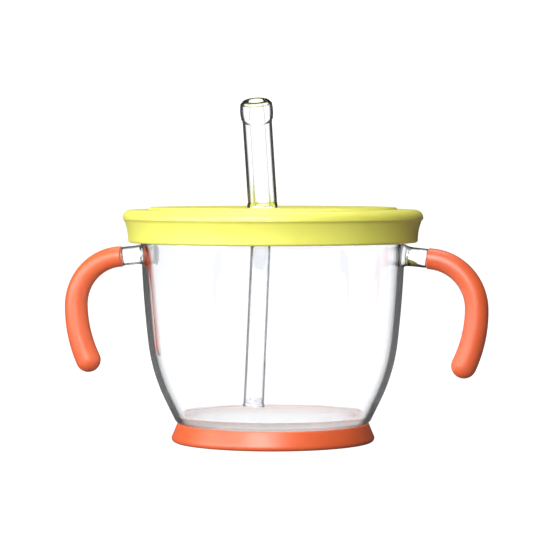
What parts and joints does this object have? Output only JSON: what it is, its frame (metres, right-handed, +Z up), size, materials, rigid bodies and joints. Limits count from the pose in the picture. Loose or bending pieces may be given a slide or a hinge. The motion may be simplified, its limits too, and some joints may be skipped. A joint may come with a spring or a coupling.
{
  "type": "sippy cup",
  "caption": "Clear round-bellied training cup with two looped-down side handles, a press-on lid with a swivelling straw spout, and a grippy foot ring.",
  "frame": {"origin": "centre of the foot ring's underside, on the table", "axes": "+Z up along the cup's axis, handles along X, the drinker on the -Y side, towards which the spout leans"},
  "size_m": [0.1444, 0.1, 0.1139],
  "materials": {
    "clear_shell": "clear, polished copolyester",
    "coral_silicone": "matte silicone",
    "yellow_silicone": "matte silicone",
    "clear_tube": "clear, smooth drawn tube",
    "clear_silicone": "translucent food-grade silicone"
  },
  "bodies": {
    "cup": {"cup_body": "clear_shell", "handle_arm_left": "clear_shell", "handle_arm_right": "clear_shell", "grip_left": "coral_silicone", "grip_right": "coral_silicone", "foot_ring": "coral_silicone"},
    "lid": {"lid": "yellow_silicone"},
    "straw": {"straw_tube": "clear_tube"},
    "spout": {"spout": "clear_silicone"}
  },
  "joints": [
    {"name": "lid_lift", "type": "slide", "parent": "cup", "child": "lid", "axis": [0, 0, 1], "range_m": [0, 0.08]},
    {"name": "straw_pull", "type": "slide", "parent": "lid", "child": "straw", "axis": [0, 0.1908, 0.9816], "range_m": [0, 0.072]},
    {"name": "spout_turn", "type": "hinge", "parent": "straw", "child": "spout", "pos_m": [0, -0.0157, 0.0793], "axis": [0, 0.1908, 0.9816], "continuous": true}
  ]
}
